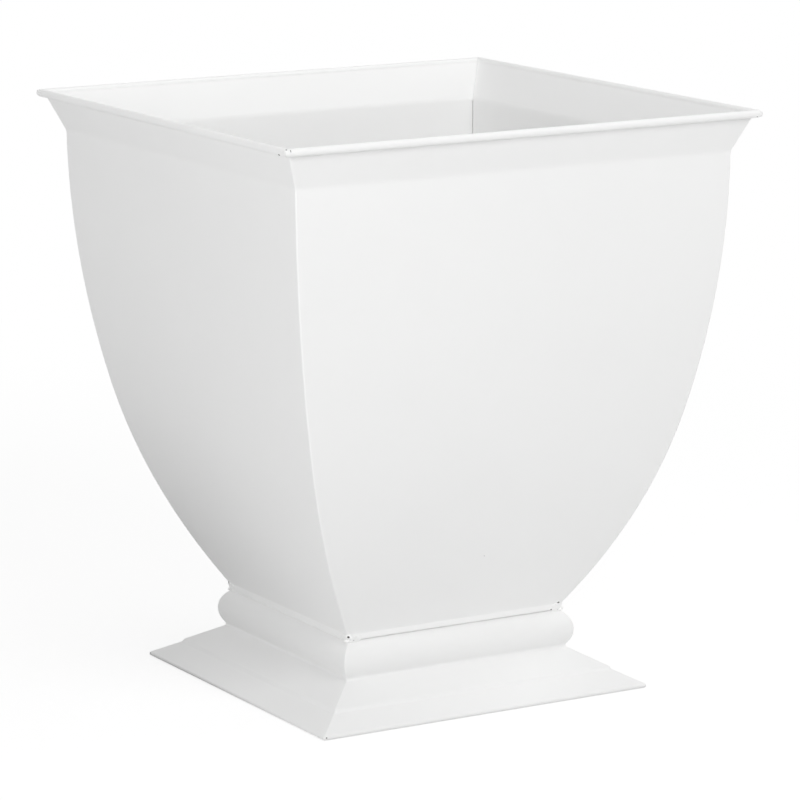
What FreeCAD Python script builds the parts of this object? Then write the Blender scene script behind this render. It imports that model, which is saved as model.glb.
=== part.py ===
import FreeCAD, Part
import math
import os
from enum import IntEnum

import Sketcher
from FreeCAD import Placement, Rotation, Vector

# Square urn planter of formed sheet steel.
# Frame: millimetres, +Z up, origin on the floor under the middle of the foot, front towards -Y.
# Every panel is drawn as the back one, which faces +Y, and is turned about Z into its place.

DIMENSIONS = [
    # Whole object
    ("rim_width", 457.0, "across the rim beads"),
    ("overall_height", 508.0, "floor to the top of the rim"),
    ("sheet_thickness", 1.0, "steel sheet of every panel"),
    # Rolled rim
    ("wire_diameter", 4.5, "wire inside the rolled rim"),
    ("wire_clearance", 0.05, "radial play of the wire in its roll"),
    ("curl_angle", 310.0, "degrees that the rim is rolled round the wire"),
    ("brow_bend", 4.0, "radius of the bend that stands the flare upright under the roll"),
    # Bowl wall, measured on the outer face
    ("flare_reach", 19.2, "from the neck out to the outside of the roll"),
    ("neck_drop", 38.0, "from the top of the rim down to the neck"),
    ("neck_lean", 0.5, "degrees that the wall still leans out at the neck"),
    ("neck_bend", 12.0, "radius of the bend into the flare"),
    ("belly_height", 248.0, "floor to where the wall starts to curve in faster"),
    ("base_width", 215.0, "across the lip at the bottom of the bowl"),
    ("base_angle", 33.2, "degrees that the wall leans out above the lip"),
    ("lip_height", 5.2, "upright lip above the seam"),
    ("lip_fold", 3.0, "radius of the fold above the lip"),
    ("flange_width", 16.0, "inward flanges of bowl and plinth, from the face of the lip"),
    ("flange_bend", 2.0, "radius of the bend under the lip"),
    # Floor of the bowl and its drain
    ("floor_thickness", 1.2, "floor plate"),
    ("floor_clearance", 0.3, "between the floor plate and the bends round it"),
    ("floor_corner", 9.0, "corner cut off the floor plate, clear of the welds"),
    ("drain_diameter", 22.0, "hole in the floor plate"),
    ("plug_clearance", 0.1, "radial play of the plug in the drain"),
    ("plug_flange_diameter", 36.0, "flange of the plug"),
    ("plug_flange_height", 3.0, "flange of the plug, at its edge"),
    ("plug_depth", 9.0, "plug below the face of the floor plate"),
    ("plug_lead", 2.0, "tapered end of the plug"),
    ("plug_neck_diameter", 7.0, "waist under the knob"),
    ("plug_neck_height", 5.0, "waist above the flange"),
    ("plug_knob_diameter", 13.0, "knob of the plug"),
    # Plinth, measured on the outer face
    ("plinth_height", 66.0, "floor to the seam under the bowl"),
    ("shoulder_bend", 2.0, "radius of the bend from the top flange into the half-round"),
    ("torus_radius", 19.8, "half-round moulding"),
    ("torus_cut", 2.2, "height that the top flange takes off the half-round"),
    ("torus_reach", 7.4, "from the lip of the bowl out to the half-round"),
    ("scotia_radius", 2.5, "hollow between the half-round and the skirt"),
    ("skirt_angle", 29.0, "degrees that the skirt slopes below the horizontal"),
    ("skirt_reach", 21.2, "from the half-round out to the lower edge of the skirt"),
    ("step_height", 18.1, "floor to the lower edge of the skirt"),
    ("step_angle", 32.0, "degrees that the step is steeper than the skirt"),
    ("step_bend", 5.0, "radius of both bends of the step"),
    ("foot_reach", 24.6, "from the lower edge of the skirt out to the folded foot edge"),
    ("foot_edge", 4.0, "height of the folded foot edge"),
    ("foot_return", 18.0, "flange under the foot, in from the foot edge"),
]
SIZE = {alias: value for alias, value, meaning in DIMENSIONS}
SIDES = [("back", 0), ("left", 90), ("front", 180), ("right", 270)]

# Outside radius of the rolled rim, and the levels and half widths that several pieces share.
BEAD = "(Dims.wire_diameter / 2 + Dims.wire_clearance + Dims.sheet_thickness)"
FLANGE_START = "Dims.base_width / 2 - Dims.flange_width"
FLANGE_FACE = "Dims.plinth_height + Dims.sheet_thickness"
TORUS_HALF = "Dims.base_width / 2 + Dims.torus_reach"
SKIRT_HALF = f"{TORUS_HALF} + Dims.skirt_reach"
FOOT_HALF = f"{SKIRT_HALF} + Dims.foot_reach"


class Sketch(IntEnum):
    """How a sketch numbers its own axes, and the points of a line or an arc."""

    Y_AXIS = -2
    X_AXIS = -1
    START = 1
    END = 2
    CENTRE = 3


def fill_sheet(doc):
    """Write every driving dimension to the spreadsheet, one row each."""
    sheet = doc.addObject("Spreadsheet::Sheet", "Dims")
    for row, (alias, value, meaning) in enumerate(DIMENSIONS, start=1):
        sheet.set(f"A{row}", alias)
        sheet.set(f"B{row}", str(value))
        sheet.set(f"C{row}", meaning)
        sheet.setAlias(f"B{row}", alias)
    doc.recompute()


def new_body(doc, label, turn=0):
    """A body of its own label, turned about Z by so many degrees."""
    body = doc.addObject("PartDesign::Body", label)
    body.Label = label
    body.Placement = Placement(Vector(), Rotation(Vector(0, 0, 1), turn))
    return body


def new_sketch(body, name, plane, offset=None):
    """A sketch on one of the body's own origin planes; offset is an expression along its normal."""
    sketch = body.newObject("Sketcher::SketchObject", name)
    support = [item for item in body.Origin.OriginFeatures if item.Role == plane][0]
    sketch.AttachmentSupport = [(support, "")]
    sketch.MapMode = "FlatFace"
    if offset:
        sketch.setExpression("AttachmentOffset.Base.z", offset)
    return sketch


def size(sketch, kind, geometry, expression):
    """Tie the radius of an arc or circle, the span of an arc or the lean of a line to the sheet."""
    item = sketch.Geometry[geometry]
    if kind == "Radius":
        value = item.Radius
    elif isinstance(item, Part.LineSegment):
        value = math.atan2(item.EndPoint.y - item.StartPoint.y, item.EndPoint.x - item.StartPoint.x)
    else:
        value = item.LastParameter - item.FirstParameter
    index = sketch.addConstraint(Sketcher.Constraint(kind, geometry, value))
    sketch.setExpression(f"Constraints[{index}]", expression)


def place(sketch, geometry, point, across=None, up=None):
    """Tie a point's distance across or up from the sketch's origin to the sheet."""
    where = sketch.getPoint(geometry, point)
    for kind, value, expression in (("DistanceX", where.x, across), ("DistanceY", where.y, up)):
        if expression:
            rule = Sketcher.Constraint(kind, Sketch.X_AXIS, Sketch.START, geometry, point, value)
            sketch.setExpression(f"Constraints[{sketch.addConstraint(rule)}]", expression)


class Outline:
    """An open chain of straight runs and bends, each tangent to the one before. Angles are in radians."""

    def __init__(self, sketch, across, up):
        self.sketch = sketch
        self.point = Vector(across, up, 0)
        self.heading = 0
        self.last = None

    def join(self, geometry, first, last):
        index = self.sketch.addGeometry(geometry)
        if self.last:
            self.sketch.addConstraint(Sketcher.Constraint("Tangent", *self.last, index, first))
        self.last = (index, last)
        return index

    def run(self, length):
        tip = self.point + length * Vector(math.cos(self.heading), math.sin(self.heading), 0)
        index = self.join(Part.LineSegment(self.point, tip), Sketch.START, Sketch.END)
        self.point = tip
        return index

    def bend(self, radius, turn):
        """Turn left by an angle, or right where it is negative."""
        outward = self.heading - math.copysign(math.pi / 2, turn)
        centre = self.point - radius * Vector(math.cos(outward), math.sin(outward), 0)
        low, high = sorted((outward, outward + turn))
        circle = Part.Circle(centre, Vector(0, 0, 1), radius)
        ends = (Sketch.START, Sketch.END) if turn > 0 else (Sketch.END, Sketch.START)
        index = self.join(Part.ArcOfCircle(circle, low, high), *ends)
        self.heading += turn
        self.point = centre + radius * Vector(math.cos(outward + turn), math.sin(outward + turn), 0)
        return index


def draw_bowl_path(sketch):
    """Outer face of a bowl panel, from the inner edge of its flange up to the end of the rolled rim."""
    s = SIZE
    base_half, rim_half = s["base_width"] / 2, s["rim_width"] / 2
    neck_half, neck_height = rim_half - s["flare_reach"], s["overall_height"] - s["neck_drop"]
    curl_radius = s["wire_diameter"] / 2 + s["wire_clearance"]
    bead_radius = curl_radius + s["sheet_thickness"]
    base_angle, neck_lean = math.radians(s["base_angle"]), math.radians(s["neck_lean"])

    # The lean of the wall where its two arcs meet, near enough for the constraints to finish.
    wall_foot = base_half + s["lip_fold"] * (1 - math.cos(base_angle))
    wall_start = s["plinth_height"] + s["lip_height"] + s["lip_fold"] * math.sin(base_angle)
    lower, upper = s["belly_height"] - wall_start, neck_height - s["belly_height"]
    mid_lean = (2 * (neck_half - wall_foot) - lower * base_angle - upper * neck_lean) / (lower + upper)
    lower_radius = lower / (math.sin(base_angle) - math.sin(mid_lean))
    upper_radius = upper / (math.sin(mid_lean) - math.sin(neck_lean))

    path = Outline(sketch, base_half - s["flange_width"], s["plinth_height"])
    flange = path.run(s["flange_width"] - s["flange_bend"])
    corner = path.bend(s["flange_bend"], math.pi / 2)
    lip = path.run(s["lip_height"] - s["flange_bend"])
    fold = path.bend(s["lip_fold"], -base_angle)
    belly = path.bend(lower_radius, base_angle - mid_lean)
    wall = path.bend(upper_radius, mid_lean - neck_lean)
    # The flare is the inner common tangent of the neck bend and the brow bend under the roll.
    neck_side = path.heading - math.pi / 2
    neck_centre = path.point + s["neck_bend"] * Vector(math.cos(neck_side), math.sin(neck_side), 0)
    brow_across = rim_half - bead_radius - curl_radius - s["brow_bend"]
    gap = Vector(brow_across, s["overall_height"] - bead_radius, 0) - neck_centre
    bends = s["neck_bend"] + s["brow_bend"]
    flare_heading = math.atan2(gap.y, gap.x) - math.asin(bends / gap.Length)
    neck = path.bend(s["neck_bend"], flare_heading - path.heading)
    path.run(math.sqrt(gap.Length ** 2 - bends ** 2))
    brow = path.bend(s["brow_bend"], math.pi / 2 - flare_heading)
    curl = path.bend(curl_radius, -math.radians(s["curl_angle"]))

    # A construction line square to the wall at the neck carries the wall's lean there.
    wall_arc = sketch.Geometry[wall]
    normal = sketch.addGeometry(Part.LineSegment(wall_arc.Center, wall_arc.EndPoint), True)
    sketch.addConstraint([
        Sketcher.Constraint("Horizontal", flange),
        Sketcher.Constraint("Vertical", lip),
        Sketcher.Constraint("Coincident", normal, Sketch.START, wall, Sketch.CENTRE),
        Sketcher.Constraint("Coincident", normal, Sketch.END, wall, Sketch.END),
    ])
    place(sketch, flange, Sketch.START, FLANGE_START, "Dims.plinth_height")
    place(sketch, lip, Sketch.END, "Dims.base_width / 2", "Dims.plinth_height + Dims.lip_height")
    place(sketch, belly, Sketch.END, up="Dims.belly_height")
    place(sketch, wall, Sketch.END, "Dims.rim_width / 2 - Dims.flare_reach",
          "Dims.overall_height - Dims.neck_drop")
    place(sketch, curl, Sketch.CENTRE, f"Dims.rim_width / 2 - {BEAD}", f"Dims.overall_height - {BEAD}")
    place(sketch, brow, Sketch.END, up=f"Dims.overall_height - {BEAD}")
    size(sketch, "Radius", corner, "Dims.flange_bend")
    size(sketch, "Radius", fold, "Dims.lip_fold")
    size(sketch, "Angle", fold, "Dims.base_angle * 1 deg")
    size(sketch, "Angle", normal, "-Dims.neck_lean * 1 deg")
    size(sketch, "Radius", neck, "Dims.neck_bend")
    size(sketch, "Radius", brow, "Dims.brow_bend")
    size(sketch, "Radius", curl, "Dims.wire_diameter / 2 + Dims.wire_clearance")
    size(sketch, "Angle", curl, "Dims.curl_angle * 1 deg")


def draw_plinth_path(sketch):
    """Outer face of a plinth panel, from the inner edge of its top flange down to the foot flange."""
    s = SIZE
    flange_start = s["base_width"] / 2 - s["flange_width"]
    torus_half = s["base_width"] / 2 + s["torus_reach"]
    torus_centre = Vector(torus_half - s["torus_radius"],
                          s["plinth_height"] + s["torus_cut"] - s["torus_radius"], 0)
    reach = s["torus_radius"] - s["shoulder_bend"]
    shoulder = math.acos((reach - s["torus_cut"]) / reach)
    flange_end = torus_centre.x + reach * math.sin(shoulder)

    # Where the hollow under the half-round touches both it and the skirt.
    slope, step_turn = math.radians(s["skirt_angle"]), math.radians(s["step_angle"])
    skirt_end = Vector(torus_half + s["skirt_reach"], s["step_height"], 0)
    height = (torus_centre - skirt_end) * Vector(math.sin(slope), math.cos(slope), 0)
    scotia_turn = math.acos((s["scotia_radius"] - height) / (s["torus_radius"] + s["scotia_radius"]))

    path = Outline(sketch, flange_start, s["plinth_height"])
    flange = path.run(flange_end - flange_start)
    shoulder_arc = path.bend(s["shoulder_bend"], -shoulder)
    torus = path.bend(s["torus_radius"], shoulder - slope - scotia_turn)
    scotia = path.bend(s["scotia_radius"], scotia_turn)
    skirt = path.run((skirt_end - path.point).Length)
    step = path.bend(s["step_bend"], -step_turn)
    hollow = path.bend(s["step_bend"], step_turn)
    hem_radius = s["foot_edge"] / 2
    hem_centre = Vector(skirt_end.x + s["foot_reach"] - hem_radius, hem_radius, 0)
    path.run((hem_centre - path.point).Length)
    hem = path.bend(hem_radius, slope - math.pi)
    foot = path.run(s["foot_return"] - hem_radius)

    sketch.addConstraint([
        Sketcher.Constraint("Horizontal", flange),
        Sketcher.Constraint("Horizontal", foot),
    ])
    place(sketch, flange, Sketch.START, FLANGE_START, "Dims.plinth_height")
    place(sketch, torus, Sketch.CENTRE, f"{TORUS_HALF} - Dims.torus_radius",
          "Dims.plinth_height + Dims.torus_cut - Dims.torus_radius")
    place(sketch, skirt, Sketch.END, SKIRT_HALF, "Dims.step_height")
    place(sketch, hem, Sketch.CENTRE, f"{FOOT_HALF} - Dims.foot_edge / 2", "Dims.foot_edge / 2")
    place(sketch, foot, Sketch.END, f"{FOOT_HALF} - Dims.foot_return")
    size(sketch, "Radius", shoulder_arc, "Dims.shoulder_bend")
    size(sketch, "Radius", torus, "Dims.torus_radius")
    size(sketch, "Radius", scotia, "Dims.scotia_radius")
    size(sketch, "Angle", skirt, "-Dims.skirt_angle * 1 deg")
    size(sketch, "Radius", step, "Dims.step_bend")
    size(sketch, "Angle", step, "Dims.step_angle * 1 deg")
    size(sketch, "Radius", hollow, "Dims.step_bend")
    size(sketch, "Radius", hem, "Dims.foot_edge / 2")


def draw_polygon(sketch, corners):
    """Straight sides between the corners, joined end to end all the way round."""
    for index, corner in enumerate(corners):
        sketch.addGeometry(Part.LineSegment(corner, corners[(index + 1) % len(corners)]))
    for index in range(len(corners)):
        following = (index + 1) % len(corners)
        sketch.addConstraint(Sketcher.Constraint("Coincident", index, Sketch.END, following, Sketch.START))


def draw_rectangle(sketch, low, high):
    """A rectangle between two corners, each given as its expressions across and up."""
    side = SIZE["flange_width"]     # any start will do: the two corners set the real size
    draw_polygon(sketch, [Vector(0, 0, 0), Vector(side, 0, 0), Vector(side, side, 0), Vector(0, side, 0)])
    sketch.addConstraint([
        Sketcher.Constraint("Horizontal", 0),
        Sketcher.Constraint("Vertical", 1),
        Sketcher.Constraint("Horizontal", 2),
        Sketcher.Constraint("Vertical", 3),
    ])
    place(sketch, 0, Sketch.START, *low)
    place(sketch, 2, Sketch.START, *high)


def cut_mitres(body):
    """Trim both ends of a panel or wire along the diagonals of the square."""
    sketch = new_sketch(body, "MitrePlan", "XY_Plane")
    far, behind = SIZE["rim_width"], -SIZE["sheet_thickness"]
    draw_polygon(sketch, [Vector(0, 0, 0), Vector(far, far, 0), Vector(far, behind, 0),
                          Vector(-far, behind, 0), Vector(-far, far, 0)])
    sketch.addConstraint([
        Sketcher.Constraint("Coincident", 0, Sketch.START, Sketch.X_AXIS, Sketch.START),
        Sketcher.Constraint("Vertical", 1),
        Sketcher.Constraint("Horizontal", 2),
        Sketcher.Constraint("Vertical", 3),
    ])
    place(sketch, 0, Sketch.END, "Dims.rim_width", "Dims.rim_width")
    place(sketch, 4, Sketch.START, "-Dims.rim_width", "Dims.rim_width")
    place(sketch, 2, Sketch.START, up="-Dims.sheet_thickness")
    before = body.Shape.Volume
    pocket = body.newObject("PartDesign::Pocket", "Mitres")
    pocket.Profile = sketch
    pocket.Type = "ThroughAll"
    pocket.Reversed = True
    body.Document.recompute()
    if body.Shape.Volume >= before:
        raise RuntimeError(f"{body.Label}: the mitres cut nothing")


def formed_panel(doc, label, turn, draw_path, low, high):
    """A sheet panel: the edge of a sheet swept along its outer face, then mitred at both ends."""
    body = new_body(doc, label, turn)
    path = new_sketch(body, "OuterFace", "YZ_Plane")
    draw_path(path)
    edge = new_sketch(body, "SheetEdge", "XZ_Plane", f"-({FLANGE_START})")
    draw_rectangle(edge, ("-Dims.rim_width / 2", low), ("Dims.rim_width / 2", high))
    doc.recompute()
    sheet = body.newObject("PartDesign::AdditivePipe", "Sheet")
    sheet.Profile = edge
    sheet.Spine = (path, [f"Edge{n}" for n in range(1, len(path.Shape.Edges) + 1)])
    sheet.Mode = "Binormal"
    sheet.Binormal = Vector(1, 0, 0)
    doc.recompute()
    cut_mitres(body)
    return body


def rim_wire(doc, label, turn):
    """The wire that one side of the rim is rolled round, mitred as its panel is."""
    body = new_body(doc, label, turn)
    sketch = new_sketch(body, "WireSection", "YZ_Plane")
    middle = Vector(SIZE["rim_width"] / 2, SIZE["overall_height"], 0)
    wire = sketch.addGeometry(Part.Circle(middle, Vector(0, 0, 1), SIZE["wire_diameter"] / 2))
    place(sketch, wire, Sketch.CENTRE, f"Dims.rim_width / 2 - {BEAD}", f"Dims.overall_height - {BEAD}")
    size(sketch, "Radius", wire, "Dims.wire_diameter / 2")
    pad = body.newObject("PartDesign::Pad", "Wire")
    pad.Profile = sketch
    pad.Midplane = True
    pad.setExpression("Length", "Dims.rim_width")
    doc.recompute()
    cut_mitres(body)
    return body


def bowl_floor(doc):
    """Plate that lies on the bowl's inward flanges, its corners cut, with the drain hole."""
    body = new_body(doc, "bowl_floor")
    half = "Dims.base_width / 2 - Dims.flange_bend - Dims.floor_clearance"
    plan = new_sketch(body, "PlatePlan", "XY_Plane", FLANGE_FACE)
    draw_rectangle(plan, (f"-({half})", f"-({half})"), (half, half))
    plate = body.newObject("PartDesign::Pad", "Plate")
    plate.Profile = plan
    plate.setExpression("Length", "Dims.floor_thickness")
    doc.recompute()
    upright = [f"Edge{n}" for n, edge in enumerate(plate.Shape.Edges, start=1)
               if edge.BoundBox.ZLength > SIZE["floor_thickness"] / 2]
    corners = body.newObject("PartDesign::Chamfer", "CutCorners")
    corners.Base = (plate, upright)
    corners.setExpression("Size", "Dims.floor_corner")
    doc.recompute()
    hole = new_sketch(body, "DrainPlan", "XY_Plane", FLANGE_FACE)
    ring = hole.addGeometry(Part.Circle(Vector(), Vector(0, 0, 1), SIZE["drain_diameter"] / 2))
    hole.addConstraint(Sketcher.Constraint("Coincident", ring, Sketch.CENTRE, Sketch.X_AXIS, Sketch.START))
    size(hole, "Radius", ring, "Dims.drain_diameter / 2")
    drain = body.newObject("PartDesign::Pocket", "Drain")
    drain.Profile = hole
    drain.Type = "ThroughAll"
    drain.Reversed = True
    before = plate.Shape.Volume
    doc.recompute()
    if body.Shape.Volume >= before:
        raise RuntimeError("bowl_floor: the drain cuts nothing")
    return body


def drain_plug(doc):
    """Rubber stopper turned about Z: tapered stem in the drain, flange on the floor plate, knob to pull."""
    s = SIZE
    body = new_body(doc, "drain_plug")
    seat = s["plinth_height"] + s["sheet_thickness"] + s["floor_thickness"]
    stem = s["drain_diameter"] / 2 - s["plug_clearance"]
    flange, neck = s["plug_flange_diameter"] / 2, s["plug_neck_diameter"] / 2
    knob = s["plug_knob_diameter"] / 2
    top = s["plug_flange_height"] + s["plug_neck_height"]
    half_profile = [(0, -s["plug_depth"]), (stem - s["plug_lead"] / 2, -s["plug_depth"]),
                    (stem, s["plug_lead"] - s["plug_depth"]), (stem, 0), (flange, 0),
                    (flange, s["plug_flange_height"]), (neck, s["plug_flange_height"]), (neck, top)]
    sketch = new_sketch(body, "HalfProfile", "XZ_Plane")
    points = [Vector(across, seat + up, 0) for across, up in half_profile]
    for first, second in zip(points, points[1:]):
        sketch.addGeometry(Part.LineSegment(first, second))
    rise = math.sqrt(knob ** 2 - neck ** 2)
    ball = Part.Circle(Vector(0, seat + top + rise, 0), Vector(0, 0, 1), knob)
    dome = sketch.addGeometry(Part.ArcOfCircle(ball, math.atan2(-rise, neck), math.pi / 2))
    crown = Vector(0, seat + top + rise + knob, 0)
    axis = sketch.addGeometry(Part.LineSegment(crown, points[0]))
    for index in range(dome):
        sketch.addConstraint(Sketcher.Constraint("Coincident", index, Sketch.END, index + 1, Sketch.START))
    sketch.addConstraint([
        Sketcher.Constraint("Coincident", dome, Sketch.END, axis, Sketch.START),
        Sketcher.Constraint("Coincident", axis, Sketch.END, 0, Sketch.START),
        Sketcher.Constraint("PointOnObject", dome, Sketch.CENTRE, Sketch.Y_AXIS),
        Sketcher.Constraint("PointOnObject", axis, Sketch.START, Sketch.Y_AXIS),
        Sketcher.Constraint("PointOnObject", axis, Sketch.END, Sketch.Y_AXIS),
        Sketcher.Constraint("Horizontal", 0),
        Sketcher.Constraint("Vertical", 2),
        Sketcher.Constraint("Horizontal", 3),
        Sketcher.Constraint("Vertical", 4),
        Sketcher.Constraint("Horizontal", 5),
        Sketcher.Constraint("Vertical", 6),
    ])
    level = f"{FLANGE_FACE} + Dims.floor_thickness"
    stem_text = "Dims.drain_diameter / 2 - Dims.plug_clearance"
    place(sketch, 0, Sketch.END, f"{stem_text} - Dims.plug_lead / 2", f"{level} - Dims.plug_depth")
    place(sketch, 1, Sketch.END, stem_text, f"{level} - Dims.plug_depth + Dims.plug_lead")
    place(sketch, 3, Sketch.END, "Dims.plug_flange_diameter / 2", level)
    place(sketch, 5, Sketch.END, "Dims.plug_neck_diameter / 2", f"{level} + Dims.plug_flange_height")
    place(sketch, 6, Sketch.END, up=f"{level} + Dims.plug_flange_height + Dims.plug_neck_height")
    size(sketch, "Radius", dome, "Dims.plug_knob_diameter / 2")
    turned = body.newObject("PartDesign::Revolution", "Turned")
    turned.Profile = sketch
    turned.ReferenceAxis = (sketch, ["V_Axis"])
    doc.recompute()
    return body


def check(doc, pieces):
    """Stop if anything in the document failed or a piece is not one sound solid."""
    for item in doc.Objects:
        if "Invalid" in item.State or "Error" in item.State:
            raise RuntimeError(f"{item.Label} failed: {item.State}")
    for piece in pieces:
        shape = piece.Shape
        if shape.isNull() or not shape.isValid() or len(shape.Solids) != 1:
            raise RuntimeError(f"{piece.Label} is not a sound solid")


def main():
    doc = FreeCAD.newDocument("planter")
    fill_sheet(doc)
    pieces = []
    for side, turn in SIDES:
        pieces.append(formed_panel(doc, f"bowl_panel_{side}", turn, draw_bowl_path,
                                   "Dims.plinth_height", FLANGE_FACE))
        pieces.append(rim_wire(doc, f"rim_wire_{side}", turn))
        pieces.append(formed_panel(doc, f"plinth_panel_{side}", turn, draw_plinth_path,
                                   "Dims.plinth_height - Dims.sheet_thickness", "Dims.plinth_height"))
    pieces.append(bowl_floor(doc))
    pieces.append(drain_plug(doc))
    doc.recompute()
    check(doc, pieces)
    os.makedirs("parts", exist_ok=True)
    for piece in pieces:
        piece.Shape.exportStep(os.path.join("parts", f"{piece.Label}.step"))
        box = piece.Shape.BoundBox
        print(f"{piece.Label}: volume {piece.Shape.Volume:.0f} mm3, z {box.ZMin:.2f} to {box.ZMax:.2f}")


main()
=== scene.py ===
import math

import bmesh
import bpy
from mathutils import Matrix, Vector


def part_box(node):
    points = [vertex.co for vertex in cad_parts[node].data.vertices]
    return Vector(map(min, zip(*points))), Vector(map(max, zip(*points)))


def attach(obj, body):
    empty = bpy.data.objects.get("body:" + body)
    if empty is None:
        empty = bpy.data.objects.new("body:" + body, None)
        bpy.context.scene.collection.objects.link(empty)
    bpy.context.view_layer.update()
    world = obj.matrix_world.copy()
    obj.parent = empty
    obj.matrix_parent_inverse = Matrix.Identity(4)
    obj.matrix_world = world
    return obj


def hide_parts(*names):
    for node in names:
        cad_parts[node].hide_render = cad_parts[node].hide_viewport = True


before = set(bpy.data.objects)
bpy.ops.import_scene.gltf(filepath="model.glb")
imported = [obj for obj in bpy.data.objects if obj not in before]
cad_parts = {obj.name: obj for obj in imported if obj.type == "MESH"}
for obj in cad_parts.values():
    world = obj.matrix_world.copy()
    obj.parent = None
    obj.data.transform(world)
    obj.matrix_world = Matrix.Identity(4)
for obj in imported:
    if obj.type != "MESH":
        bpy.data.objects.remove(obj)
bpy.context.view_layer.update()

# Square urn planter of white powder-coated sheet steel.
# Metres, +Z up, front towards -Y. Every panel is formed as the back one and turned about Z.

MM = 0.001
SIDES = {"back": 0, "left": 90, "front": 180, "right": 270}

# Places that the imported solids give
RIM_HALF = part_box("bowl_panel_back")[1].x
RIM_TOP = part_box("bowl_panel_back")[1].z
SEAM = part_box("bowl_panel_back")[0].z
FOOT_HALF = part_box("plinth_panel_back")[1].x
PLATE_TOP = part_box("bowl_floor")[1].z

# Sheet and rolled rim
SHEET = 1.0 * MM
WIRE_RADIUS = 2.25 * MM
WIRE_GAP = 0.05 * MM
CURL_RADIUS = WIRE_RADIUS + WIRE_GAP
CURL_TURN = math.radians(310)
BEAD_RADIUS = CURL_RADIUS + SHEET
BROW_BEND = 4 * MM

# Bowl wall, on its outer face
RIM_REACH = 19.2 * MM
RIM_RISE = 38 * MM
NECK_HALF = RIM_HALF - RIM_REACH
NECK_HEIGHT = RIM_TOP - RIM_RISE
NECK_LEAN = math.radians(0.5)
NECK_BEND = 12 * MM
BELLY_HEIGHT = 248 * MM
LIP_HALF = 107.5 * MM
LIP_HEIGHT = 5.2 * MM
LIP_FOLD = 3 * MM
BASE_LEAN = math.radians(33.2)
FLANGE_WIDTH = 16 * MM
FLANGE_BEND = 2 * MM

# Plinth, on its outer face
SHOULDER_BEND = 2 * MM
TORUS_REACH = 7.4 * MM
TORUS_HALF = LIP_HALF + TORUS_REACH
TORUS_RADIUS = 19.8 * MM
TORUS_CUT = 2.2 * MM
SCOTIA_RADIUS = 2.5 * MM
SKIRT_SLOPE = math.radians(29)
SKIRT_REACH = 21.2 * MM
SKIRT_HALF = TORUS_HALF + SKIRT_REACH
STEP_HEIGHT = 18.1 * MM
STEP_TURN = math.radians(32)
STEP_BEND = 5 * MM
FOOT_EDGE = 4 * MM
HEM = FOOT_EDGE / 2
FOOT_RETURN = 18 * MM

# How the mitred corners and the broad faces came out of the workshop
BOWL_CORNER = 1.5 * MM
PLINTH_CORNER = 0.8 * MM
OPEN_BEAD = 0.10 * MM
OPEN_INSIDE = 0.36 * MM
WAVE_DEPTH = 0.5 * MM
WAVE_LENGTH = 160 * MM

# How finely the panels are made
CORNER_SPANS = 6
BOWL_FACE_SPANS = 40
PLINTH_FACE_SPANS = 30
MERGE_GAP = 0.001 * MM
CREASE_ANGLE = math.radians(40)

# The middle of what a noise node gives
NOISE_MEAN = 0.5


# Node trees

def feed(tree, socket, value):
    """Link a socket to another one, or set its value."""
    if isinstance(value, bpy.types.NodeSocket):
        tree.links.new(value, socket)
    else:
        socket.default_value = value


def add(tree, kind, settings=None, **inputs):
    """A node with its settings, and its inputs fed by name: spaces in a name are written as underscores."""
    made = tree.nodes.new(kind)
    for name, value in (settings or {}).items():
        setattr(made, name, value)
    for name, value in inputs.items():
        feed(tree, made.inputs[name.replace("_", " ")], value)
    return made


def calc(tree, operation, *values, clamp=False):
    """The result of a sum on sockets or numbers."""
    made = add(tree, "ShaderNodeMath", {"operation": operation, "use_clamp": clamp})
    for socket, value in zip(made.inputs, values):
        feed(tree, socket, value)
    return made.outputs[0]


def new_tree(name, inputs):
    """A geometry node tree with a geometry input, named inputs for its sizes, and one output."""
    tree = bpy.data.node_groups.new(name, "GeometryNodeTree")
    tree.interface.new_socket("Geometry", in_out="INPUT", socket_type="NodeSocketGeometry")
    for label, kind in inputs.items():
        tree.interface.new_socket(label, in_out="INPUT", socket_type=f"NodeSocket{kind}")
    tree.interface.new_socket("Geometry", in_out="OUTPUT", socket_type="NodeSocketGeometry")
    return tree, tree.nodes.new("NodeGroupInput").outputs


def end_tree(tree, geometry, coat):
    """Real geometry with its finish, as the tree's result."""
    real = add(tree, "GeometryNodeRealizeInstances", Geometry=geometry)
    finished = add(tree, "GeometryNodeSetMaterial", Geometry=real.outputs[0], Material=coat)
    feed(tree, tree.nodes.new("NodeGroupOutput").inputs[0], finished.outputs[0])


def grow(name, start, tree, sizes):
    """Run a tree on a start mesh and keep the result as a plain mesh object."""
    seed = bpy.data.objects.new(name + "_start", start)
    bpy.context.scene.collection.objects.link(seed)
    modifier = seed.modifiers.new("form", "NODES")
    modifier.node_group = tree
    for item in tree.interface.items_tree:
        if item.in_out == "INPUT" and item.name in sizes:
            modifier[item.identifier] = sizes[item.name]
    shaped = seed.evaluated_get(bpy.context.evaluated_depsgraph_get())
    piece = bpy.data.objects.new(name, bpy.data.meshes.new_from_object(shaped))
    bpy.context.scene.collection.objects.link(piece)
    bpy.data.objects.remove(seed)
    return piece


# Sheet sections

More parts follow.
